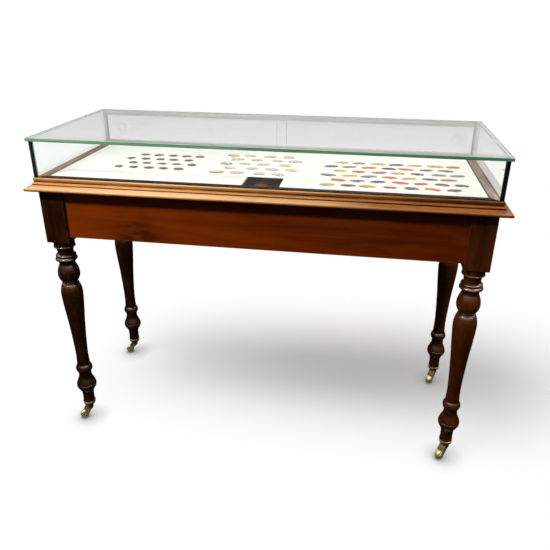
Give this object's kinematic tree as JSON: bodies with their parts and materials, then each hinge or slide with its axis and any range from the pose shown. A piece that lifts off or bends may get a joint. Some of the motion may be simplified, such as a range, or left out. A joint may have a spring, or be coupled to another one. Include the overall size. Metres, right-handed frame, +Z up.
{
  "type": "glass display cabinet",
  "caption": "Low glass display case with sliding rear doors on a moulded hardwood table with turned legs and brass castors.",
  "frame": {"origin": "floor level under the centre of the cabinet's plan", "axes": "+X along the length, to the right as seen from the front; -Y towards the front; +Z up"},
  "size_m": [1.22, 0.497, 0.898],
  "materials": {
    "dark_wood": "dark red-brown polished mahogany",
    "mould_wood": "worn mahogany, lighter on its edges",
    "plain_wood": "unpolished softwood inside the table",
    "white_board": "white card facing on a thin board",
    "clear_glass": "clear float glass with green edges",
    "black_seal": "black silicone",
    "track_metal": "satin anodised channel",
    "brass": "old polished brass, dark in the recesses"
  },
  "bodies": {
    "table": {"leg_front_left": "dark_wood", "leg_front_right": "dark_wood", "leg_back_left": "dark_wood", "leg_back_right": "dark_wood", "apron_front": "dark_wood", "apron_back": "dark_wood", "apron_left": "dark_wood", "apron_right": "dark_wood", "corner_brace_front_left": "plain_wood", "corner_brace_front_right": "plain_wood", "corner_brace_back_left": "plain_wood", "corner_brace_back_right": "plain_wood", "base_board": "plain_wood", "ledger_left": "plain_wood", "ledger_right": "plain_wood", "cross_rail": "plain_wood", "well_batten": "mould_wood", "moulding_front": "mould_wood", "moulding_back": "mould_wood", "moulding_left": "mould_wood", "moulding_right": "mould_wood", "display_board_left": "white_board", "display_board_right": "white_board", "display_card_middle": "white_board", "glass_front": "clear_glass", "glass_left": "clear_glass", "glass_right": "clear_glass", "glass_top": "clear_glass", "corner_seal_left": "black_seal", "corner_seal_right": "black_seal", "door_jamb_left": "track_metal", "door_jamb_right": "track_metal", "lower_track": "track_metal", "upper_track": "track_metal", "castor_plate_front_left": "brass", "castor_plate_front_right": "brass", "castor_plate_back_left": "brass", "castor_plate_back_right": "brass"},
    "left_door": {"sliding_door_left": "clear_glass", "finger_pull_left": "track_metal"},
    "right_door": {"sliding_door_right": "clear_glass", "finger_pull_right": "track_metal"},
    "castor_front_left": {"castor_fork_front_left": "brass", "castor_axle_front_left": "brass"},
    "castor_front_right": {"castor_fork_front_right": "brass", "castor_axle_front_right": "brass"},
    "castor_back_left": {"castor_fork_back_left": "brass", "castor_axle_back_left": "brass"},
    "castor_back_right": {"castor_fork_back_right": "brass", "castor_axle_back_right": "brass"},
    "wheel_front_left": {"castor_wheel_front_left": "brass"},
    "wheel_front_right": {"castor_wheel_front_right": "brass"},
    "wheel_back_left": {"castor_wheel_back_left": "brass"},
    "wheel_back_right": {"castor_wheel_back_right": "brass"}
  },
  "joints": [
    {"name": "left_door_slide", "type": "slide", "parent": "table", "child": "left_door", "axis": [1, 0, 0], "range_m": [0, 0.555]},
    {"name": "right_door_slide", "type": "slide", "parent": "table", "child": "right_door", "axis": [1, 0, 0], "range_m": [-0.555, 0]},
    {"name": "swivel_front_left", "type": "hinge", "parent": "table", "child": "castor_front_left", "pos_m": [-0.552, -0.1905, 0.045], "axis": [0, 0, 1], "continuous": true},
    {"name": "swivel_front_right", "type": "hinge", "parent": "table", "child": "castor_front_right", "pos_m": [0.552, -0.1905, 0.045], "axis": [0, 0, 1], "continuous": true},
    {"name": "swivel_back_left", "type": "hinge", "parent": "table", "child": "castor_back_left", "pos_m": [-0.552, 0.1905, 0.045], "axis": [0, 0, 1], "continuous": true},
    {"name": "swivel_back_right", "type": "hinge", "parent": "table", "child": "castor_back_right", "pos_m": [0.552, 0.1905, 0.045], "axis": [0, 0, 1], "continuous": true},
    {"name": "spin_front_left", "type": "hinge", "parent": "castor_front_left", "child": "wheel_front_left", "pos_m": [-0.56838, -0.20197, 0.01383], "axis": [0.5736, -0.8192, 0], "continuous": true},
    {"name": "spin_front_right", "type": "hinge", "parent": "castor_front_right", "child": "wheel_front_right", "pos_m": [0.53786, -0.20464, 0.01383], "axis": [0.7071, -0.7071, 0], "continuous": true},
    {"name": "spin_back_left", "type": "hinge", "parent": "castor_back_left", "child": "wheel_back_left", "pos_m": [-0.5717, 0.18703, 0.01383], "axis": [0.1736, -0.9848, 0], "continuous": true},
    {"name": "spin_back_right", "type": "hinge", "parent": "castor_back_right", "child": "wheel_back_right", "pos_m": [0.54053, 0.17412, 0.01383], "axis": [0.8192, -0.5736, 0], "continuous": true}
  ]
}
